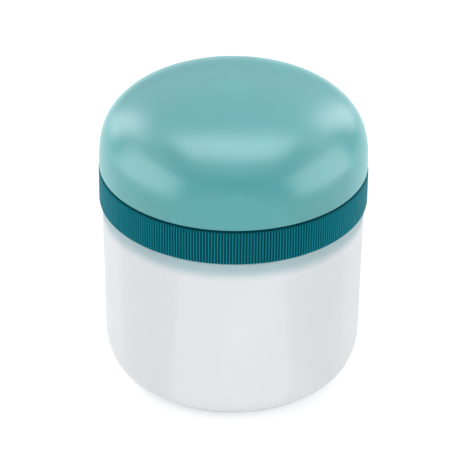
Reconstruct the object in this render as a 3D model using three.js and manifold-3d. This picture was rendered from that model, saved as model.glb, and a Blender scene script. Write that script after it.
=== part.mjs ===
// Twist-top jar: a frosted pot, a ribbed screw ring that carries a sealing disc, and a domed cap pushed
// over the ring's spigot, so that the space above the disc is a compartment of its own.
// Millimetres, +Z up, with the origin at the centre of the foot, on the table.
import * as THREE from "three";
import { mergeVertices } from "three/addons/utils/BufferGeometryUtils.js";
import Module from "manifold-3d";

const wasm = await Module();
wasm.setup();

// Fits
const touchGap = 0.3; // between pieces that bear on each other
const runningGap = 0.4; // round the disc, inside the ring
const plugFit = 0.6; // round the disc's plug, inside the jar's neck
const threadRoom = 2.5; // between the neck and the ring's bore, for the two threads
const sealGap = 0.1; // between the cap and its seal

// Jar
const jarRadius = 51.2; // outside, at the shoulder
const jarHeight = 73.7; // foot to shoulder
const jarWall = 1.8;
const jarFloor = 2.2;
const jarDraft = THREE.MathUtils.degToRad(0.73); // the side leans in towards the foot
const cornerRise = 16.2; // the rounded bottom corner, up the side
const cornerInset = 11; // and in along the floor
const footWidth = 3;
const footRecess = 1;
const shoulderRound = 0.8;
const shoulderInnerRound = 1.6;
const neckWall = 2.2;
const neckLipRound = 0.5;

// Screw ring
const ringOverhang = 1.05; // how far the ribs stand out past the jar's shoulder
const gripHeight = 13.6;
const ribPitch = 1.14;
const ribDepth = 0.9;
const ribCrestShare = 0.36; // of the pitch
const skirtWall = 2.05; // behind the grooves
const ledgeThickness = 1.5;
const ledgeReach = 0.5; // how far the ledge's edge stands in past the disc's plug
const lugCount = 6;
const lugAngle = THREE.MathUtils.degToRad(16);
const lugThickness = 1.1;
const lugOverlap = 0.8; // how far each lug reaches in under the disc's lip
const spigotHeight = 6.2;
const spigotWall = 2.4;
const spigotChamfer = 0.5;

// Cap seal and its groove in the spigot
const grooveLift = 2.5; // from the ring's top face to the groove
const grooveHeight = 2;
const grooveDepth = 1.4;

// Sealing disc
const flangeThickness = 1.4;
const lipThickness = 1;
const lipDepth = 1.1;
const plugDepth = 5.5;
const plugWall = 1.5;
const plugChamfer = 0.7;
const panelThickness = 1.6;
const panelFillet = 1;

// Disc gasket
const gasketThickness = 1.4;

// Dome cap
const capInset = 0.25; // how far the cap's side stands in from the ribs
const capHeight = 32.9;
const capWall = 1.9;
const capRimChamfer = 0.4;
const shadowGap = 1; // the dark line between the ring and the cap
const seatRibCount = 8;
const seatRibThickness = 1.6;
const seatRibHeight = 5;
const seatRibToe = 1.2; // height of the rib's inner end
const sideFullnessShare = 2.24; // the dome is |r / R| ** side + |z / H| ** crown = 1
const crownFullnessShare = 3.31;
const rimCrowdingShare = 1.5; // draws the section's points down to the rim, where the cap fits the spigot

// Facets
const roundSteps = 60;
const domeSteps = 12;
const domeInnerSteps = 9;
const cornerSteps = 7;
const cornerInnerSteps = 5;
const smallRoundSteps = 2;
const lugSteps = 2;

// Radii, from the ring's ribs inwards
const ringRadius = jarRadius + ringOverhang;
const ribRootRadius = ringRadius - ribDepth;
const ringBore = ribRootRadius - skirtWall;
const neckRadius = ringBore - threadRoom;
const neckBore = neckRadius - neckWall;
const flangeRadius = ringBore - runningGap;
const lipBore = flangeRadius - lipThickness;
const lugReachRadius = flangeRadius - lugOverlap;
const plugRadius = neckBore - plugFit;
const plugBore = plugRadius - plugWall;
const ledgeHole = plugBore - ledgeReach;
const capRadius = ringRadius - capInset;
const capBore = capRadius - capWall;
const spigotRadius = capBore - touchGap;
const spigotBore = spigotRadius - spigotWall;
const grooveRadius = spigotRadius - grooveDepth;

// Heights in the lid, counted from the ring's lower edge
const ledgeUnderside = gripHeight - ledgeThickness;
const flangeTop = ledgeUnderside - touchGap;
const flangeUnderside = flangeTop - flangeThickness;
const gasketTop = flangeUnderside - touchGap;
const gasketUnderside = gasketTop - gasketThickness;
const lipUnderside = flangeUnderside - lipDepth;
const lugTop = lipUnderside - touchGap;
const panelUnderside = flangeUnderside - plugDepth;
const panelTop = panelUnderside + panelThickness;
const spigotTop = gripHeight + spigotHeight;
const grooveUnderside = gripHeight + grooveLift;
const capRim = gripHeight + shadowGap;

// Heights in the jar, counted from the foot
const lidLift = jarHeight + touchGap;
const neckTop = lidLift + gasketUnderside - touchGap;

const quarter = Math.PI / 2;

// Points of an elliptical arc in the plane of radius and height
function arc(centreRadius, centreHeight, reach, rise, from, to, steps) {
  const curve = new THREE.EllipseCurve(centreRadius, centreHeight, reach, rise, from, to, to < from);
  return curve.getPoints(steps);
}

function point(radius, height) {
  return new THREE.Vector2(radius, height);
}

// Position and index alone, with shared corners merged and the flat triangles at a pole dropped
function closed(geometry) {
  const bare = geometry.clone();
  bare.deleteAttribute("normal");
  bare.deleteAttribute("uv");
  const merged = mergeVertices(bare);
  const corners = merged.index.array;
  const kept = [];
  for (let i = 0; i < corners.length; i += 3) {
    const [a, b, c] = corners.slice(i, i + 3);
    if (a !== b && b !== c && c !== a) kept.push(a, b, c);
  }
  return merged.setIndex(kept);
}

// A body of revolution about +Z. The outline climbs on its outer side.
function turned(outline) {
  const geometry = new THREE.LatheGeometry(outline, roundSteps);
  return closed(geometry.rotateX(quarter));
}

function closedOutline(points) {
  return [...points, points[0].clone()];
}

// Joins overlapping closed geometries into one
function joined(geometries) {
  const solids = geometries.map((geometry) => {
    const vertProperties = new Float32Array(geometry.attributes.position.array);
    const triVerts = new Uint32Array(geometry.index.array);
    return new wasm.Manifold(new wasm.Mesh({ numProp: 3, vertProperties, triVerts }));
  });
  const mesh = solids.reduce((sum, solid) => sum.add(solid)).getMesh();
  return new THREE.BufferGeometry()
    .setAttribute("position", new THREE.BufferAttribute(mesh.vertProperties, 3))
    .setIndex(new THREE.BufferAttribute(mesh.triVerts, 1));
}

function polarPoint(radius, angle) {
  return new THREE.Vector2(radius * Math.cos(angle), radius * Math.sin(angle));
}

// Radius of a superelliptic dome at a height above its rim
function domeRadiusAt(radius, height, z) {
  return radius * (1 - (z / height) ** crownFullnessShare) ** (1 / sideFullnessShare);
}

// Points of the dome's section, from the rim up to the crown
function domeSection(radius, height, steps) {
  const section = [];
  for (let i = 0; i <= steps; i++) {
    const turn = (i / steps) ** rimCrowdingShare * quarter;
    const outward = Math.cos(turn) ** (2 / sideFullnessShare);
    const upward = Math.sin(turn) ** (2 / crownFullnessShare);
    section.push(point(radius * outward, height * upward));
  }
  return section;
}

// Jar: blown frosted pot with a recessed foot, a drafted side, a square shoulder and a wide neck
function jarGeometry() {
  const sideFoot = jarRadius - (jarHeight - cornerRise) * Math.tan(jarDraft);
  const footRadius = sideFoot - cornerInset;
  const footBore = footRadius - footWidth;
  const floorTop = footRecess + jarFloor;
  const shoulderUnderside = jarHeight - jarWall;
  const innerShoulder = jarRadius - jarWall - shoulderInnerRound;
  return turned([
    point(0, footRecess),
    point(footBore - footRecess, footRecess),
    point(footBore, 0),
    ...arc(footRadius, cornerRise, cornerInset, cornerRise, -quarter, 0, cornerSteps),
    ...arc(
      jarRadius - shoulderRound,
      jarHeight - shoulderRound,
      shoulderRound,
      shoulderRound,
      0,
      quarter,
      smallRoundSteps,
    ),
    point(neckRadius, jarHeight),
    point(neckRadius, neckTop - neckLipRound),
    point(neckRadius - neckLipRound, neckTop),
    point(neckBore + neckLipRound, neckTop),
    point(neckBore, neckTop - neckLipRound),
    point(neckBore, shoulderUnderside),
    ...arc(
      innerShoulder,
      shoulderUnderside - shoulderInnerRound,
      shoulderInnerRound,
      shoulderInnerRound,
      quarter,
      0,
      smallRoundSteps,
    ),
    ...arc(
      footRadius,
      cornerRise,
      cornerInset - jarWall,
      cornerRise - floorTop,
      0,
      -quarter,
      cornerInnerSteps,
    ),
    point(0, floorTop),
  ]);
}

// Outline of the ring's ribbed side: a flat crest and a V groove for each rib
function ribbedOutline() {
  const ribCount = Math.round((2 * Math.PI * ringRadius) / ribPitch);
  const pitchAngle = (2 * Math.PI) / ribCount;
  const crestHalfAngle = (pitchAngle * ribCrestShare) / 2;
  const outline = [];
  for (let rib = 0; rib < ribCount; rib++) {
    const middle = rib * pitchAngle;
    outline.push(polarPoint(ringRadius, middle - crestHalfAngle));
    outline.push(polarPoint(ringRadius, middle + crestHalfAngle));
    outline.push(polarPoint(ribRootRadius, middle + pitchAngle / 2));
  }
  return outline;
}

// The ribbed skirt, open right through
function skirtGeometry() {
  const skirt = new THREE.Shape(ribbedOutline());
  const bore = new THREE.EllipseCurve(0, 0, ringBore, ringBore, 0, 4 * quarter);
  skirt.holes.push(new THREE.Path(bore.getPoints(roundSteps).slice(1)));
  return closed(new THREE.ExtrudeGeometry(skirt, { depth: gripHeight, bevelEnabled: false }));
}

// The ledge that presses on the disc, with the spigot that the cap is pushed over
function spigotGeometry() {
  const rooted = ringBore + skirtWall / 2;
  const grooveTop = grooveUnderside + grooveHeight;
  return turned(
    closedOutline([
      point(ledgeHole, ledgeUnderside),
      point(rooted, ledgeUnderside),
      point(rooted, gripHeight),
      point(spigotRadius, gripHeight),
      point(spigotRadius, grooveUnderside),
      point(grooveRadius, grooveUnderside),
      point(grooveRadius, grooveTop),
      point(spigotRadius, grooveTop),
      point(spigotRadius, spigotTop - spigotChamfer),
      point(spigotRadius - spigotChamfer, spigotTop),
      point(spigotBore, spigotTop),
      point(spigotBore, gripHeight),
      point(ledgeHole, gripHeight),
    ]),
  );
}

// One lug on the ring's bore, which lifts the disc by its lip when the ring is unscrewed
function lugGeometry(angle) {
  const rooted = ringBore + skirtWall / 2;
  const from = angle - lugAngle / 2;
  const to = angle + lugAngle / 2;
  const plan = new THREE.Shape([
    ...arc(0, 0, rooted, rooted, from, to, lugSteps),
    ...arc(0, 0, lugReachRadius, lugReachRadius, to, from, lugSteps),
  ]);
  const lug = new THREE.ExtrudeGeometry(plan, { depth: lugThickness, bevelEnabled: false });
  return closed(lug.translate(0, 0, lugTop - lugThickness));
}

function screwRingGeometry() {
  const pieces = [skirtGeometry(), spigotGeometry()];
  for (let lug = 0; lug < lugCount; lug++) {
    pieces.push(lugGeometry((lug / lugCount) * 4 * quarter));
  }
  return joined(pieces);
}

// Silicone ring in the spigot's groove, with rounded corners
function capSealGeometry() {
  const inner = grooveRadius + touchGap;
  const outer = capBore - sealGap;
  const underside = grooveUnderside + touchGap;
  const top = grooveUnderside + grooveHeight - touchGap;
  const bevel = (outer - inner) / 4;
  return turned(
    closedOutline([
      point(inner, underside),
      point(outer - bevel, underside),
      point(outer, underside + bevel),
      point(outer, top - bevel),
      point(outer - bevel, top),
      point(inner, top),
    ]),
  );
}

// Sealing disc: a plug that drops into the neck, with a flange over the rim and a lip round its edge
function sealingDiscGeometry() {
  return turned([
    point(0, panelUnderside),
    point(plugRadius - plugChamfer, panelUnderside),
    point(plugRadius, panelUnderside + plugChamfer),
    point(plugRadius, flangeUnderside),
    point(lipBore, flangeUnderside),
    point(lipBore, lipUnderside),
    point(flangeRadius, lipUnderside),
    point(flangeRadius, flangeTop),
    point(plugBore, flangeTop),
    point(plugBore, panelTop + panelFillet),
    point(plugBore - panelFillet, panelTop),
    point(0, panelTop),
  ]);
}

// Flat silicone gasket under the flange, between the plug and the lip
function discGasketGeometry() {
  const inner = plugRadius + touchGap;
  const outer = lipBore - touchGap;
  return turned(
    closedOutline([
      point(inner, gasketUnderside),
      point(outer, gasketUnderside),
      point(outer, gasketTop),
      point(inner, gasketTop),
    ]),
  );
}

// One upright rib inside the cap, whose foot rests on the spigot and holds the rim off the ring
function seatRibGeometry(angle) {
  const foot = spigotTop + touchGap - capRim;
  const head = foot + seatRibHeight;
  const midRadius = capRadius - capWall / 2;
  const midHeight = capHeight - capWall / 2;
  const plate = new THREE.Shape([
    point(spigotBore, foot),
    point(domeRadiusAt(midRadius, midHeight, foot), foot),
    point(domeRadiusAt(midRadius, midHeight, head), head),
    point(spigotBore, foot + seatRibToe),
  ]);
  const rib = new THREE.ExtrudeGeometry(plate, { depth: seatRibThickness, bevelEnabled: false });
  rib.translate(0, 0, -seatRibThickness / 2).rotateX(quarter).rotateZ(angle);
  return closed(rib);
}

// Dome cap: a thin pebble-shaped shell, with its origin at the rim
function domeCapGeometry() {
  const outside = domeSection(capRadius, capHeight, domeSteps).slice(1);
  const inside = domeSection(capBore, capHeight - capWall, domeInnerSteps).slice(1).reverse();
  const shell = turned(
    closedOutline([
      point(capBore, capRimChamfer),
      point(capBore + capRimChamfer, 0),
      point(capRadius - capRimChamfer, 0),
      point(capRadius, capRimChamfer),
      ...outside,
      ...inside,
    ]),
  );
  const pieces = [shell];
  for (let rib = 0; rib < seatRibCount; rib++) {
    pieces.push(seatRibGeometry(((rib + 0.5) / seatRibCount) * 4 * quarter));
  }
  return joined(pieces);
}

function piece(name, geometry, look) {
  const mesh = new THREE.Mesh(geometry, new THREE.MeshStandardMaterial(look));
  mesh.name = name;
  return mesh;
}

const frosted = { color: 0xe2e6e9, roughness: 0.45, metalness: 0, transparent: true, opacity: 0.9 };
const darkTeal = { color: 0x0a5a69, roughness: 0.4, metalness: 0 };
const lightTeal = { color: 0x71b6b6, roughness: 0.4, metalness: 0 };
const translucent = { color: 0xdfe4e4, roughness: 0.5, metalness: 0 };
const silicone = { color: 0xd4dcdb, roughness: 0.7, metalness: 0 };

const cap = new THREE.Group();
cap.position.z = capRim;
cap.add(piece("dome_cap", domeCapGeometry(), lightTeal));

const lid = new THREE.Group();
lid.position.z = lidLift;
lid.add(piece("screw_ring", screwRingGeometry(), darkTeal));
lid.add(piece("cap_seal", capSealGeometry(), silicone));
lid.add(piece("sealing_disc", sealingDiscGeometry(), translucent));
lid.add(piece("disc_gasket", discGasketGeometry(), silicone));
lid.add(cap);

const twistTopJar = new THREE.Group();
twistTopJar.add(piece("jar", jarGeometry(), frosted));
twistTopJar.add(lid);

export default twistTopJar;
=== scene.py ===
"""Twist-top jar with a dome cap: finished meshes, plastics and silicone, light and camera.

Metres, +Z up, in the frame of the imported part. Outlines are (radius, height, rounding) corners
that are rounded off and spun about +Z.
"""

import math

import bmesh
import bpy
from mathutils import Matrix, Vector

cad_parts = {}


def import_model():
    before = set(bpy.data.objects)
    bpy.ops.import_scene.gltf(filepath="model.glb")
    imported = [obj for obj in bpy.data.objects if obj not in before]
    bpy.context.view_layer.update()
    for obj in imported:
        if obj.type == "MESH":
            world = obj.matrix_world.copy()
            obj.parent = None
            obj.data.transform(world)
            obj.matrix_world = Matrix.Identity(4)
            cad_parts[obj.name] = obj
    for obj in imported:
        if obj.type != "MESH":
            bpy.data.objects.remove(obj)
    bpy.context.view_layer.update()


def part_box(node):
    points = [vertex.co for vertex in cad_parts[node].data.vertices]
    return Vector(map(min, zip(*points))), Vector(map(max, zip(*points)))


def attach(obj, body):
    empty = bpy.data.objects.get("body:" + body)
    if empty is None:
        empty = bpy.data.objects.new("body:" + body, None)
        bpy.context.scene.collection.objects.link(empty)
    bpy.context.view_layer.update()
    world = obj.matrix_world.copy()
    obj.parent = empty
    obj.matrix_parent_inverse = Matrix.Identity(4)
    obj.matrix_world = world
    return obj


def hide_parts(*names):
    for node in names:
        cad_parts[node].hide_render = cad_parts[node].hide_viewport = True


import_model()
MM = 0.001

# Sizes read from the frame
jar_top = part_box("jar")[1]
ring_low, ring_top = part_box("screw_ring")
seal_low, seal_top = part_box("cap_seal")
disc_low, disc_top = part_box("sealing_disc")
gasket_low, gasket_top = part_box("disc_gasket")
cap_low, cap_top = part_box("dome_cap")
JAR_RADIUS = jar_top.x
NECK_TOP = jar_top.z
RING_RADIUS = ring_top.x
RING_BOTTOM = ring_low.z
SPIGOT_TOP = ring_top.z
CAP_RADIUS = cap_top.x
CAP_RIM = cap_low.z
CAP_HEIGHT = cap_top.z - cap_low.z

# Jar
JAR_WALL = 1.8 * MM
SHOULDER_GAP = 0.3 * MM
SHOULDER = RING_BOTTOM - SHOULDER_GAP
SHOULDER_ROUND = 0.8 * MM
SHOULDER_ROUND_INSIDE = 1.6 * MM
JAR_DRAFT = math.radians(0.73)
CORNER_RISE = 16.2 * MM
CORNER_INSET = 11 * MM
CORNER_STEPS = 18
CORNER_STEPS_INSIDE = 14
FOOT_WIDTH = 3 * MM
FOOT_RECESS = 1 * MM
FOOT_ROUND = 0.3 * MM
RECESS_ROUND = 0.5 * MM
FLOOR = 2.2 * MM
NECK_RADIUS = 46.8 * MM
NECK_BORE = 44.6 * MM
NECK_ROUND = 0.6 * MM
NECK_FOOT_ROUND = 0.4 * MM
NECK_BORE_ROUND = 0.8 * MM
GATE_RADIUS = 2 * MM
GATE_HEIGHT = 0.35 * MM

# Painted shade on the jar's wall under the lid: its reach, the share of it at which it is full, its tint
LID_SHADE_DEPTH = 8.7 * MM
LID_SHADE_FULL = 0.72
LID_SHADE = (0.52, 0.655, 0.67)

# Ring
RIB_COUNT = 288
RIB_FACETS = 8
RIB_DEPTH = 0.9 * MM
RIB_CREST = 0.13
RIB_FOOT = 0.3
RIB_END = 0.45 * MM
RING_BORE = 49.3 * MM
RING_ROUND = 0.3 * MM
SEAM_WIDTH = 1.2 * MM
LEDGE = 1.5 * MM
LEDGE_HOLE = 42 * MM
SHADOW_GAP = 1 * MM
RING_FACE = CAP_RIM - SHADOW_GAP
SPIGOT_RADIUS = 49.8 * MM
SPIGOT_BORE = 47.4 * MM
SPIGOT_ROUND = 0.6 * MM
GROOVE_DEPTH = 1.4 * MM
GROOVE_CLEARANCE = 0.3 * MM
LUG_COUNT = 6
LUG_ANGLE = math.radians(16)
LUG_THICKNESS = 1.1 * MM
LUG_REACH = 48.1 * MM
BORE_TOLERANCE = 0.05 * MM

# Painted light on the ribs' crests and painted shade in their grooves: shares of the ring's colour on the
# crests, in the grooves and elsewhere, and where the change to the grooves' share starts and ends, from 0
# at twice the ribs' depth to 1 on the crests
RIB_PAINTED_LIGHT = 1
GROOVE_PAINTED_SHADE = 0.34
RIB_PLAIN = 0.65
PLAIN_END = 0.4
GROOVE_START = 0.45

# Two-start thread
THREAD_STARTS = 2
THREAD_LEAD = 8 * MM
THREAD_ARC = math.radians(205)
THREAD_FADE = math.radians(9)
THREAD_CREST = 0.45 * MM
THREAD_FOOT = 0.9 * MM
THREAD_ROWS = 30
NECK_THREAD_DEPTH = 1.6 * MM
NECK_THREAD_START = 76.3 * MM
NECK_THREAD_FOOT = 1 * MM
NECK_THREAD_HEAD = 0.3 * MM
RING_THREAD_DEPTH = 1.9 * MM
RING_THREAD_TURN = math.radians(40)
RING_THREAD_DROP = THREAD_LEAD / THREAD_STARTS / 2
RING_THREAD_START = NECK_THREAD_START - RING_THREAD_DROP + THREAD_LEAD * RING_THREAD_TURN / math.tau
RING_THREAD_FOOT = 0.5 * MM

# Disc, gasket and seal
FLANGE = 1.4 * MM
LIP = 1 * MM
LIP_DEPTH = 1.1 * MM
PLUG_RADIUS = 44 * MM
PLUG_WALL = 1.5 * MM
PLUG_ROUND = 1 * MM
PANEL = 1.6 * MM
PANEL_ROUND = 1.2 * MM
DISC_ROUND = 0.3 * MM
GASKET_ROUND = 0.4 * MM
SEAL_ROUND = (seal_top.z - seal_low.z) / 2.6

# Cap
CAP_WALL = 1.9 * MM
SIDE_FULLNESS = 2.24
CROWN_FULLNESS = 3.31
RIM_CROWDING = 1.25
CAP_STEPS = 44
CAP_STEPS_INSIDE = 30
CAP_RIM_ROUND = 0.35 * MM
SEAT_RIBS = 8
SEAT_RIB_THICKNESS = 1.6 * MM
SEAT_RIB_HEIGHT = 5 * MM
SEAT_RIB_TOE = 1.2 * MM
SEAT_CLEARANCE = 0.3 * MM

# Meshes
SPIN_STEPS = RIB_COUNT
ROUND_SEGMENTS = 5
CREASE = math.radians(32)
WELD = 0.001 * MM
SEAM_WELD = WELD * 5

# Plastics: detail of the noises, the band of their values that is used, and the grain's strength
GRAIN_DETAIL = 3
PATCHES_PER_METRE = 40
PATCH_DETAIL = 2
NOISE_LOW = 0.3
NOISE_HIGH = 0.7
GRAIN_STRENGTH = 0.25

# Camera
PHOTO_SIDE = 467
AXIS_PIXEL = 232.94
SENSOR = 36
FIELD_OF_VIEW = math.radians(10)
CAMERA_ELEVATION = math.radians(31.05)
CAMERA_DISTANCE = 1.0504
CAMERA_TARGET = Vector((0, 0, 56.37 * MM))
CAMERA_ROLL = 0.0095
CAMERA_NEAR = 0.05
CAMERA_FAR = 20

# Floor and world
TABLE_HALF = 3
TABLE_COLOUR = (0.7, 0.7, 0.7, 1)
TABLE_ROUGHNESS = 0.8
TABLE_SPECULAR = 0.2
TABLE_GLOW = 0.44
SKY_COLOUR = (0.93, 0.97, 1.0, 1)
SKY_STRENGTH = 0.55

# Lamps: name, direction and elevation in degrees, distance, width, height, radiance that is mirrored,
# radiance that lights, and colour. Direction 0 is the camera's side, growing to the right. A radiance
# of 0 makes no lamp
WHITE = (1, 1, 1)
COOL_WHITE = (0.9, 0.95, 1.0)
LAMPS = (
    ("left_box", -75, 12, 0.55, 0.64, 0.42, 2.6, 2.55, WHITE),
    ("right_box", 79, 14, 0.55, 0.62, 0.44, 2.6, 3.3, WHITE),
    ("left_high_box", -92, 40, 1.0, 0.9, 0.45, 1.0, 1.1, WHITE),
    ("right_high_box", 96, 42, 1.0, 0.85, 0.42, 0.95, 1.1, WHITE),
    ("left_back_box", -135, 20, 1.2, 0.42, 0.85, 2.75, 3.6, WHITE),
    ("right_back_box", 143, 22, 1.2, 0.38, 0.85, 2.45, 3.8, WHITE),
    ("overhead_box", 180, 82, 0.9, 0.85, 0.5, 3.6, 3.6, WHITE),
    ("top_front_box", 0, 66, 1.0, 1.1, 0.5, 0.8, 1.4, WHITE),
    ("back_panel", 180, 42, 1.4, 2.4, 1.5, 0.7, 0.7, COOL_WHITE),
    ("low_fill", 0, 8, 1.6, 1.8, 0.5, 0, 3.25, WHITE),
)


def camera():
    lens = bpy.data.cameras.new("camera")
    lens.sensor_width = SENSOR
    lens.sensor_height = SENSOR
    lens.lens = SENSOR / 2 / math.tan(FIELD_OF_VIEW / 2)
    lens.shift_x = (PHOTO_SIDE / 2 - AXIS_PIXEL) / PHOTO_SIDE
    lens.clip_start = CAMERA_NEAR
    lens.clip_end = CAMERA_FAR
    eye = bpy.data.objects.new("camera", lens)
    bpy.context.scene.collection.objects.link(eye)
    back = Vector((0, -math.cos(CAMERA_ELEVATION), math.sin(CAMERA_ELEVATION)))
    tilt = Matrix.Rotation(math.pi / 2 - CAMERA_ELEVATION, 4, "X")
    roll = Matrix.Rotation(CAMERA_ROLL, 4, "Z")
    eye.matrix_world = Matrix.Translation(CAMERA_TARGET + back * CAMERA_DISTANCE) @ tilt @ roll
    bpy.context.scene.camera = eye


# Mesh helpers
def rounded_chain(bm, outline, closed=False):
    """Draws corners of (radius, height, rounding) in the XZ plane and rounds those that ask for it."""
    verts = [bm.verts.new((corner[0], 0, corner[1])) for corner in outline]
    for pair in zip(verts, verts[1:] + verts[:1] if closed else verts[1:]):
        bm.edges.new(pair)
    for vert, corner in zip(verts, outline):
        if len(corner) > 2:
            bmesh.ops.bevel(
                bm, geom=[vert], offset=corner[2], offset_type="OFFSET", segments=ROUND_SEGMENTS,
                profile=0.5, affect="VERTICES", material=-1,
            )


def split_upright(bm, radius, low, high, cuts):
    """Cuts the upright edge that runs from low to high at a radius into equal rows."""
    picked = []
    for edge in bm.edges:
        ends = [vert.co for vert in edge.verts]
        level = [abs(math.hypot(co.x, co.y) - radius) < WELD for co in ends]
        span = [low - WELD < co.z < high + WELD for co in ends]
        if all(level) and all(span):
            picked.append(edge)
    bmesh.ops.subdivide_edges(bm, edges=picked, cuts=cuts)


def spin_round(bm, steps=SPIN_STEPS):
    bmesh.ops.spin(
        bm, geom=bm.verts[:] + bm.edges[:], cent=(0, 0, 0), axis=(0, 0, 1), dvec=(0, 0, 0),
        angle=math.tau, steps=steps, use_merge=True, use_normal_flip=False, use_duplicate=False,
    )
    bmesh.ops.remove_doubles(bm, verts=bm.verts, dist=WELD)


def polar(co):
    return math.hypot(co.x, co.y), math.atan2(co.y, co.x) % math.tau


def set_polar(vert, radius, angle):
    vert.co.x = radius * math.cos(angle)
    vert.co.y = radius * math.sin(angle)


def finished(bm, name, body, material, slot, *nodes):
    """Makes the piece's object, smooth but for its creases, and puts it in the node's place."""
    bmesh.ops.recalc_face_normals(bm, faces=bm.faces)
    mesh = bpy.data.meshes.new(name)
    bm.to_mesh(mesh)
    bm.free()
    mesh.shade_smooth()
    mesh.set_sharp_from_angle(angle=CREASE)
    mesh.materials.append(material)
    piece = bpy.data.objects.new(name, mesh)
    bpy.context.scene.collection.objects.link(piece)
    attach(piece, body)
    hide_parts(*nodes)


def thread_height(angle, height, start, turn):
    """Height of the thread's ridge, from 0 to 1, at a place on a cylinder about +Z."""
    tallest = 0
    for number in range(THREAD_STARTS):
        along = (angle - turn - number * math.tau / THREAD_STARTS) % math.tau
        if along > THREAD_ARC:
            continue
        off = abs(height - start - THREAD_LEAD * along / math.tau)
        flank = (THREAD_FOOT - off) / (THREAD_FOOT - THREAD_CREST)
        fade = min(along, THREAD_ARC - along) / THREAD_FADE
        tallest = max(tallest, min(flank, 1) * min(fade, 1))
    return tallest


def cut_thread(bm, radius, low, high, depth, start, turn):
    """Raises the thread's ridges on a cylinder between two heights. A negative depth goes inwards."""
    for vert in bm.verts:
        out, angle = polar(vert.co)
        if abs(out - radius) < WELD and low < vert.co.z < high:
            set_polar(vert, radius + depth * thread_height(angle, vert.co.z, start, turn), angle)


# Cap
def dome_outline(radius, height, lift, steps):
    """Superellipse section from the rim up to the crown, crowded towards the rim."""
    section = []
    for number in range(steps + 1):
        turn = (number / steps) ** RIM_CROWDING * math.pi / 2
        outward = max(math.cos(turn), 0) ** (2 / SIDE_FULLNESS)
        upward = math.sin(turn) ** (2 / CROWN_FULLNESS)
        section.append((radius * outward, lift + height * upward))
    section[-1] = (0, lift + height)
    return section


def dome_radius(radius, height, z):
    return radius * (1 - (z / height) ** CROWN_FULLNESS) ** (1 / SIDE_FULLNESS)


def dome_cap(material):
    outside = dome_outline(CAP_RADIUS, CAP_HEIGHT, CAP_RIM, CAP_STEPS)
    inside = dome_outline(CAP_RADIUS - CAP_WALL, CAP_HEIGHT - CAP_WALL, CAP_RIM, CAP_STEPS_INSIDE)
    rim = [
        (CAP_RADIUS - CAP_WALL, CAP_RIM, CAP_RIM_ROUND),
        (CAP_RADIUS, CAP_RIM, CAP_RIM_ROUND),
    ]
    bm = bmesh.new()
    rounded_chain(bm, inside[:0:-1] + rim + outside[1:])
    spin_round(bm)
    for number in range(SEAT_RIBS):
        add_seat_rib(bm, (number + 0.5) * math.tau / SEAT_RIBS)
    finished(bm, "cap_shell", "dome_cap", material, "light_teal_plastic", "dome_cap")


def add_seat_rib(bm, angle):
    """An upright plate inside the cap, whose foot rests on the spigot."""
    foot = SPIGOT_TOP + SEAT_CLEARANCE
    head = foot + SEAT_RIB_HEIGHT
    middle = CAP_RADIUS - CAP_WALL / 2
    middle_height = CAP_HEIGHT - CAP_WALL / 2
    corners = [
        (SPIGOT_BORE, foot),
        (dome_radius(middle, middle_height, foot - CAP_RIM), foot),
        (dome_radius(middle, middle_height, head - CAP_RIM), head),
        (SPIGOT_BORE, foot + SEAT_RIB_TOE),
    ]
    verts = [bm.verts.new((r, -SEAT_RIB_THICKNESS / 2, z)) for r, z in corners]
    side = bm.faces.new(verts)
    thick = bmesh.ops.extrude_face_region(bm, geom=[side], use_keep_orig=True)["geom"]
    moved = [part for part in thick if isinstance(part, bmesh.types.BMVert)]
    bmesh.ops.translate(bm, verts=moved, vec=(0, SEAT_RIB_THICKNESS, 0))
    bmesh.ops.rotate(bm, verts=verts + moved, cent=(0, 0, 0), matrix=Matrix.Rotation(angle, 3, "Z"))


# Ring
def rib_crest(angle):
    """Height of a rib at an angle round the ring, from 0 in the groove to 1 on the crest."""
    phase = angle * RIB_COUNT / math.tau
    from_crest = abs(phase - round(phase))
    return min(max((RIB_FOOT - from_crest) / (RIB_FOOT - RIB_CREST), 0), 1)


def ribbed_band(bm):
    """The outside of the ring, from a seam circle on its lower face to one on its upper face."""
    band = bmesh.new()
    rounded_chain(
        band,
        [
            (RING_BORE + SEAM_WIDTH, RING_BOTTOM),
            (RING_RADIUS - RIB_END, RING_BOTTOM),
            (RING_RADIUS, RING_BOTTOM + RIB_END),
            (RING_RADIUS, RING_FACE - RIB_END),
            (RING_RADIUS - RIB_END, RING_FACE),
            (SPIGOT_RADIUS + SEAM_WIDTH, RING_FACE),
        ],
    )
    spin_round(band, RIB_COUNT * RIB_FACETS)
    pitch = math.tau / RIB_COUNT
    for vert in band.verts:
        radius, angle = polar(vert.co)
        if radius > RING_RADIUS - WELD:
            set_polar(vert, RING_RADIUS - RIB_DEPTH * (1 - rib_crest(angle)), angle)
        elif radius < RING_RADIUS - RIB_END - WELD:
            set_polar(vert, radius, round(angle / pitch) * pitch)
    bmesh.ops.remove_doubles(band, verts=band.verts, dist=WELD)
    copy = bpy.data.meshes.new("ribbed_band")
    band.to_mesh(copy)
    band.free()
    bm.from_mesh(copy)
    bpy.data.meshes.remove(copy)


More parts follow.
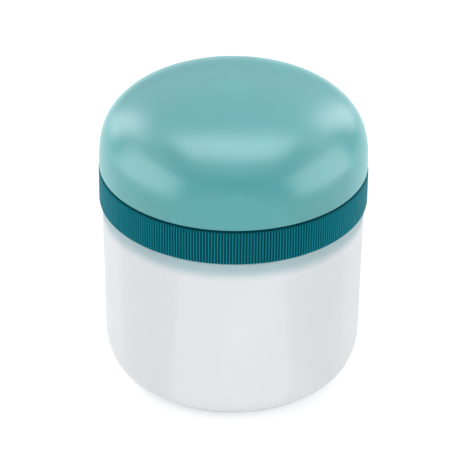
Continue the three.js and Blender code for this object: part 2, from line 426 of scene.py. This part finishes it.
def screw_ring(material):
    ledge_under = RING_FACE - LEDGE
    groove_low = seal_low.z - GROOVE_CLEARANCE
    groove_top = seal_top.z + GROOVE_CLEARANCE
    groove = SPIGOT_RADIUS - GROOVE_DEPTH
    lip_under = gasket_top.z + GROOVE_CLEARANCE - LIP_DEPTH
    lug_top = lip_under - GROOVE_CLEARANCE
    lug_low = lug_top - LUG_THICKNESS
    thread_low = RING_BOTTOM + RING_THREAD_FOOT
    bm = bmesh.new()
    rounded_chain(
        bm,
        [
            (SPIGOT_RADIUS + SEAM_WIDTH, RING_FACE),
            (SPIGOT_RADIUS, RING_FACE, RING_ROUND),
            (SPIGOT_RADIUS, groove_low, RING_ROUND / 2),
            (groove, groove_low),
            (groove, groove_top),
            (SPIGOT_RADIUS, groove_top, RING_ROUND / 2),
            (SPIGOT_RADIUS, SPIGOT_TOP, SPIGOT_ROUND),
            (SPIGOT_BORE, SPIGOT_TOP, SPIGOT_ROUND),
            (SPIGOT_BORE, RING_FACE, RING_ROUND),
            (LEDGE_HOLE, RING_FACE, RING_ROUND),
            (LEDGE_HOLE, ledge_under, RING_ROUND),
            (RING_BORE, ledge_under, RING_ROUND),
            (RING_BORE, lug_top),
            (RING_BORE, lug_low),
            (RING_BORE, thread_low),
            (RING_BORE, RING_BOTTOM, RING_ROUND),
            (RING_BORE + SEAM_WIDTH, RING_BOTTOM),
        ],
    )
    split_upright(bm, RING_BORE, thread_low, lug_low, THREAD_ROWS)
    spin_round(bm)
    add_lugs(bm, lug_low, lug_top)
    cut_thread(
        bm, RING_BORE, thread_low, lug_low, -RING_THREAD_DEPTH, RING_THREAD_START, RING_THREAD_TURN
    )
    ribbed_band(bm)
    bmesh.ops.remove_doubles(bm, verts=bm.verts, dist=SEAM_WELD)
    finished(bm, "ribbed_ring", "screw_ring", material, "dark_teal_plastic", "screw_ring")


def add_lugs(bm, low, top):
    """Pushes patches of the bore inwards as lugs, which lift the disc by its lip."""
    bm.faces.ensure_lookup_table()
    picked = []
    for face in bm.faces:
        middle = face.calc_center_median()
        radius, angle = polar(middle)
        off = (angle + LUG_ANGLE / 2) % (math.tau / LUG_COUNT)
        if abs(radius - RING_BORE) < BORE_TOLERANCE and low < middle.z < top and off < LUG_ANGLE:
            picked.append(face)
    pushed = bmesh.ops.extrude_face_region(bm, geom=picked)["geom"]
    bmesh.ops.delete(bm, geom=picked, context="FACES")
    for part in pushed:
        if isinstance(part, bmesh.types.BMVert):
            set_polar(part, LUG_REACH, polar(part.co)[1])


# Seal, gasket and disc
def round_seal(name, body, material, node, inner, low, top, inner_round, outer_round):
    """A closed silicone ring from an inner radius out to the corner top, rounded inside and outside."""
    bm = bmesh.new()
    rounded_chain(
        bm,
        [
            (inner, low.z, inner_round),
            (top.x, low.z, outer_round),
            (top.x, top.z, outer_round),
            (inner, top.z, inner_round),
        ],
        closed=True,
    )
    spin_round(bm)
    finished(bm, name, body, material, "seal_silicone", node)


def cap_seal(material):
    inner = SPIGOT_RADIUS - GROOVE_DEPTH + GROOVE_CLEARANCE
    round_seal(
        "seal_ring", "screw_ring", material, "cap_seal",
        inner, seal_low, seal_top, SEAL_ROUND / 3, SEAL_ROUND,
    )


def disc_gasket(material):
    inner = PLUG_RADIUS + GROOVE_CLEARANCE
    round_seal(
        "flat_gasket", "sealing_disc", material, "disc_gasket",
        inner, gasket_low, gasket_top, GASKET_ROUND, GASKET_ROUND,
    )


def sealing_disc(material):
    flange_under = disc_top.z - FLANGE
    lip_under = flange_under - LIP_DEPTH
    lip_bore = disc_top.x - LIP
    plug_bore = PLUG_RADIUS - PLUG_WALL
    bm = bmesh.new()
    rounded_chain(
        bm,
        [
            (0, disc_low.z),
            (PLUG_RADIUS, disc_low.z, PLUG_ROUND),
            (PLUG_RADIUS, flange_under, DISC_ROUND),
            (lip_bore, flange_under, DISC_ROUND),
            (lip_bore, lip_under, DISC_ROUND),
            (disc_top.x, lip_under, DISC_ROUND),
            (disc_top.x, disc_top.z, DISC_ROUND),
            (plug_bore, disc_top.z, DISC_ROUND),
            (plug_bore, disc_low.z + PANEL, PANEL_ROUND),
            (0, disc_low.z + PANEL),
        ],
    )
    spin_round(bm)
    finished(bm, "disc_plate", "sealing_disc", material, "disc_plastic", "sealing_disc")


# Jar
def quarter_corner(centre_radius, centre_height, reach, rise, steps):
    """A rounded corner from the foot up to the side."""
    arc = []
    for number in range(steps + 1):
        turn = number / steps * math.pi / 2
        arc.append((centre_radius + reach * math.sin(turn), centre_height - rise * math.cos(turn)))
    return arc


def jar(material):
    side_foot = JAR_RADIUS - (SHOULDER - CORNER_RISE) * math.tan(JAR_DRAFT)
    foot = side_foot - CORNER_INSET
    foot_bore = foot - FOOT_WIDTH
    floor_top = FOOT_RECESS + FLOOR
    thread_low = SHOULDER + NECK_THREAD_FOOT
    thread_high = NECK_TOP - NECK_ROUND - NECK_THREAD_HEAD
    inner_top = SHOULDER - JAR_WALL
    underside = [
        (0, FOOT_RECESS - GATE_HEIGHT),
        (GATE_RADIUS, FOOT_RECESS - GATE_HEIGHT, GATE_HEIGHT / 2),
        (GATE_RADIUS + GATE_HEIGHT, FOOT_RECESS),
        (foot_bore - FOOT_RECESS, FOOT_RECESS, RECESS_ROUND),
        (foot_bore, 0, FOOT_ROUND),
    ]
    outer_corner = quarter_corner(foot, CORNER_RISE, CORNER_INSET, CORNER_RISE, CORNER_STEPS)
    neck = [
        (JAR_RADIUS, SHOULDER, SHOULDER_ROUND),
        (NECK_RADIUS, SHOULDER, NECK_FOOT_ROUND),
        (NECK_RADIUS, thread_low),
        (NECK_RADIUS, thread_high),
        (NECK_RADIUS, NECK_TOP, NECK_ROUND),
        (NECK_BORE, NECK_TOP, NECK_ROUND),
        (NECK_BORE, inner_top, NECK_BORE_ROUND),
        (JAR_RADIUS - JAR_WALL, inner_top, SHOULDER_ROUND_INSIDE),
    ]
    inner_corner = quarter_corner(
        foot, CORNER_RISE, CORNER_INSET - JAR_WALL, CORNER_RISE - floor_top, CORNER_STEPS_INSIDE
    )
    bm = bmesh.new()
    rounded_chain(bm, underside + outer_corner + neck + inner_corner[::-1] + [(0, floor_top)])
    split_upright(bm, NECK_RADIUS, thread_low, thread_high, THREAD_ROWS)
    spin_round(bm)
    cut_thread(bm, NECK_RADIUS, thread_low, thread_high, NECK_THREAD_DEPTH, NECK_THREAD_START, 0)
    finished(bm, "frosted_jar", "jar", material, "frosted_plastic", "jar")


# Shader helpers
def feed(tree, socket, value):
    """Sets a socket to a value, or links another node's socket to it."""
    if isinstance(value, bpy.types.NodeSocket):
        tree.links.new(value, socket)
    else:
        socket.default_value = value


def number_node(tree, operation, *values):
    """An operation on numbers, each of which is a value or another node's socket."""
    node = tree.nodes.new("ShaderNodeMath")
    node.operation = operation
    for socket, value in zip(node.inputs, values):
        feed(tree, socket, value)
    return node.outputs["Value"]


def vector_node(tree, operation, vector, second=None, scale=None):
    """An operation on a vector, with a second vector or a scale where the operation takes one."""
    node = tree.nodes.new("ShaderNodeVectorMath")
    node.operation = operation
    feed(tree, node.inputs[0], vector)
    if second is not None:
        feed(tree, node.inputs[1], second)
    if scale is not None:
        feed(tree, node.inputs["Scale"], scale)
    return node.outputs


def range_node(tree, value, low, high, to_low=0, to_high=1):
    """Maps a value from one range to another and holds it there."""
    node = tree.nodes.new("ShaderNodeMapRange")
    feed(tree, node.inputs["Value"], value)
    node.inputs["From Min"].default_value = low
    node.inputs["From Max"].default_value = high
    node.inputs["To Min"].default_value = to_low
    node.inputs["To Max"].default_value = to_high
    return node.outputs["Result"]


def ramp_node(tree, value, interpolation, first, last, *between):
    """A ramp of colours through stops of (position, colour): the two ends, then those between them."""
    node = tree.nodes.new("ShaderNodeValToRGB")
    node.color_ramp.interpolation = interpolation
    stops = node.color_ramp.elements
    stops[0].position, stops[0].color = first
    stops[1].position, stops[1].color = last
    for position, colour in between:
        stops.new(position).color = colour
    feed(tree, node.inputs["Fac"], value)
    return node.outputs["Color"]


def tint_base(material, shade):
    """Multiplies the material's base colour by another colour."""
    tree = material.node_tree
    base = tree.nodes["Principled BSDF"].inputs["Base Color"]
    tinted = vector_node(tree, "MULTIPLY", base.links[0].from_socket, shade)
    tree.links.new(tinted["Vector"], base)


# Shader node groups
def new_group(name, inputs, outputs):
    tree = bpy.data.node_groups.new(name, "ShaderNodeTree")
    for label, kind, value in inputs:
        socket = tree.interface.new_socket(label, in_out="INPUT", socket_type=kind)
        socket.default_value = value
    for label, kind in outputs:
        tree.interface.new_socket(label, in_out="OUTPUT", socket_type=kind)
    start = tree.nodes.new("NodeGroupInput")
    end = tree.nodes.new("NodeGroupOutput")
    return tree, start, end


def satin_grain_group():
    """Fine spark-eroded mould grain, and slow patches for the roughness and the pigment."""
    tree, start, end = new_group(
        "satin_grain",
        [
            ("Grain per metre", "NodeSocketFloat", 4000),
            ("Patches per metre", "NodeSocketFloat", PATCHES_PER_METRE),
        ],
        [("Height", "NodeSocketFloat"), ("Patches", "NodeSocketFloat")],
    )
    place = tree.nodes.new("ShaderNodeTexCoord")
    for scale, detail, result in (
        ("Grain per metre", GRAIN_DETAIL, "Height"),
        ("Patches per metre", PATCH_DETAIL, "Patches"),
    ):
        noise = tree.nodes.new("ShaderNodeTexNoise")
        noise.inputs["Detail"].default_value = detail
        tree.links.new(place.outputs["Object"], noise.inputs["Vector"])
        tree.links.new(start.outputs[scale], noise.inputs["Scale"])
        tree.links.new(noise.outputs["Fac"], end.inputs[result])
    return tree


def pigment_drift_group():
    """A colour with slow, slight patches, as pigment leaves in moulded plastic."""
    tree, start, end = new_group(
        "pigment_drift",
        [
            ("Colour", "NodeSocketColor", (0.5, 0.5, 0.5, 1)),
            ("Drift", "NodeSocketFloat", 0.05),
            ("Patches", "NodeSocketFloat", 0.5),
        ],
        [("Colour", "NodeSocketColor")],
    )
    spread = range_node(tree, start.outputs["Patches"], NOISE_LOW, NOISE_HIGH, -1, 1)
    scale = number_node(tree, "MULTIPLY_ADD", spread, start.outputs["Drift"], 1)
    shade = vector_node(tree, "SCALE", start.outputs["Colour"], scale=scale)
    tree.links.new(shade["Vector"], end.inputs["Colour"])
    return tree


GRAIN = satin_grain_group()
DRIFT = pigment_drift_group()


# Plastics and silicone
def moulded(name, colour, roughness, spread, grain, depth, drift, **sockets):
    """A moulded plastic or rubber: colour with drift, patchy roughness and a fine grain.

    Grain is per metre, depth is the grain's, and spread and drift are how far roughness and colour vary.
    """
    material = bpy.data.materials.new(name)
    material.use_nodes = True
    tree = material.node_tree
    shader = tree.nodes["Principled BSDF"]
    skin = tree.nodes.new("ShaderNodeGroup")
    skin.node_tree = GRAIN
    skin.inputs["Grain per metre"].default_value = grain
    patches = skin.outputs["Patches"]
    tint = tree.nodes.new("ShaderNodeGroup")
    tint.node_tree = DRIFT
    tint.inputs["Colour"].default_value = (*colour, 1)
    tint.inputs["Drift"].default_value = drift
    tree.links.new(patches, tint.inputs["Patches"])
    tree.links.new(tint.outputs["Colour"], shader.inputs["Base Color"])
    rough = range_node(tree, patches, NOISE_LOW, NOISE_HIGH, roughness - spread, roughness + spread)
    tree.links.new(rough, shader.inputs["Roughness"])
    bump = tree.nodes.new("ShaderNodeBump")
    bump.inputs["Strength"].default_value = GRAIN_STRENGTH
    bump.inputs["Distance"].default_value = depth
    tree.links.new(skin.outputs["Height"], bump.inputs["Height"])
    tree.links.new(bump.outputs["Normal"], shader.inputs["Normal"])
    for socket, value in sockets.items():
        shader.inputs[socket.replace("_", " ")].default_value = value
    return material


def paint_shade_under_lid(material):
    """Painted shade: the top of the frosted wall is darkened and tinted teal in its colour, where the lid
    shades it.
    """
    tree = material.node_tree
    place = tree.nodes.new("ShaderNodeTexCoord")
    split = tree.nodes.new("ShaderNodeSeparateXYZ")
    tree.links.new(place.outputs["Object"], split.inputs["Vector"])
    height = split.outputs["Z"]
    depth = range_node(tree, height, SHOULDER - LID_SHADE_DEPTH, SHOULDER)
    below_neck = number_node(tree, "LESS_THAN", height, SHOULDER + SHOULDER_GAP / 2)
    mask = number_node(tree, "MULTIPLY", depth, below_neck)
    full = (LID_SHADE_FULL, (*LID_SHADE, 1))
    tint_base(material, ramp_node(tree, mask, "EASE", (0, (1, 1, 1, 1)), full))


def paint_rib_light_and_shade(material):
    """Painted light on the ribs' crests and painted shade in their grooves, with the rest of the ring
    between.
    """
    tree = material.node_tree
    place = tree.nodes.new("ShaderNodeTexCoord")
    flat = vector_node(tree, "MULTIPLY", place.outputs["Object"], (1, 1, 0))
    radius = vector_node(tree, "LENGTH", flat["Vector"])
    depth = range_node(tree, radius["Value"], RING_RADIUS - 2 * RIB_DEPTH, RING_RADIUS)
    plain, dark, light = [(share, share, share, 1) for share in (RIB_PLAIN, GROOVE_PAINTED_SHADE, RIB_PAINTED_LIGHT)]
    stops = ((PLAIN_END, plain), (1, light), (GROOVE_START, dark))
    tint_base(material, ramp_node(tree, depth, "LINEAR", *stops))


FROSTED = moulded(
    "frosted_polypropylene", (0.87, 0.895, 0.91),
    roughness=0.6, spread=0.03, grain=5000, depth=0.02 * MM, drift=0.008,
    Subsurface_Weight=1, Subsurface_Radius=(1, 1, 1), Subsurface_Scale=4 * MM,
    Specular_IOR_Level=0.15,
)
# The jar's base colour carries a painted shade under the lid
paint_shade_under_lid(FROSTED)
LIGHT_TEAL = moulded(
    "light_teal_satin", (0.05, 0.313, 0.323),
    roughness=0.32, spread=0.02, grain=4500, depth=0.015 * MM, drift=0.012,
    IOR=1.6, Specular_IOR_Level=0.75,
)
DARK_TEAL = moulded(
    "dark_teal_satin", (0.003, 0.225, 0.283),
    roughness=0.34, spread=0.03, grain=4000, depth=0.015 * MM, drift=0.03,
    Specular_IOR_Level=0.1,
)
# The ring's base colour carries painted light on the crests and painted shade in the grooves
paint_rib_light_and_shade(DARK_TEAL)
DISC_PLASTIC = moulded(
    "milky_disc_plastic", (0.74, 0.78, 0.78),
    roughness=0.4, spread=0.03, grain=4500, depth=0.015 * MM, drift=0.01,
)
SILICONE = moulded(
    "milky_silicone", (0.66, 0.72, 0.71),
    roughness=0.6, spread=0.04, grain=6000, depth=0.02 * MM, drift=0.015,
)


# Floor, light and world
def floor():
    """A pale table that also glows white where the camera, a mirror or a clear piece shows it."""
    bm = bmesh.new()
    bmesh.ops.create_grid(bm, x_segments=1, y_segments=1, size=TABLE_HALF)
    mesh = bpy.data.meshes.new("floor")
    bm.to_mesh(mesh)
    bm.free()
    sheet = bpy.data.objects.new("floor", mesh)
    bpy.context.scene.collection.objects.link(sheet)
    material = bpy.data.materials.new("white_table")
    material.use_nodes = True
    tree = material.node_tree
    shader = tree.nodes["Principled BSDF"]
    shader.inputs["Base Color"].default_value = TABLE_COLOUR
    shader.inputs["Roughness"].default_value = TABLE_ROUGHNESS
    shader.inputs["Specular IOR Level"].default_value = TABLE_SPECULAR
    shader.inputs["Emission Color"].default_value = (1, 1, 1, 1)
    rays = tree.nodes.new("ShaderNodeLightPath").outputs
    mirrored = number_node(tree, "MAXIMUM", rays["Is Glossy Ray"], rays["Is Transmission Ray"])
    seen = number_node(tree, "MAXIMUM", rays["Is Camera Ray"], mirrored)
    glow = number_node(tree, "MULTIPLY", seen, TABLE_GLOW)
    tree.links.new(glow, shader.inputs["Emission Strength"])
    mesh.materials.append(material)


def softbox(name, direction, elevation, distance, width, height, shine, soft, colour):
    """A rectangular lamp that looks at the lid, split into one that is mirrored and one that lights."""
    turn, lift = math.radians(direction), math.radians(elevation)
    place = Vector((math.sin(turn) * math.cos(lift), -math.cos(turn) * math.cos(lift), math.sin(lift)))
    for part, radiance in (("shine", shine), ("soft", soft)):
        if not radiance:
            continue
        lamp = bpy.data.lights.new(f"{name}_{part}", "AREA")
        lamp.shape = "RECTANGLE"
        lamp.size = width
        lamp.size_y = height
        lamp.energy = radiance * math.pi * width * height
        lamp.color = colour
        holder = bpy.data.objects.new(lamp.name, lamp)
        holder.location = Vector((0, 0, RING_FACE)) + place * distance
        holder.rotation_euler = (-place).to_track_quat("-Z", "Y").to_euler()
        holder.visible_glossy = part == "shine"
        holder.visible_diffuse = part == "soft"
        bpy.context.scene.collection.objects.link(holder)


def world():
    sky = bpy.data.worlds.new("studio")
    bpy.context.scene.world = sky
    sky.use_nodes = True
    room = sky.node_tree.nodes["Background"]
    room.inputs["Color"].default_value = SKY_COLOUR
    room.inputs["Strength"].default_value = SKY_STRENGTH


camera()
dome_cap(LIGHT_TEAL)
screw_ring(DARK_TEAL)
cap_seal(SILICONE)
sealing_disc(DISC_PLASTIC)
disc_gasket(SILICONE)
jar(FROSTED)
floor()
for lamp_row in LAMPS:
    softbox(*lamp_row)
world()
bpy.context.scene.view_settings.view_transform = "Standard"
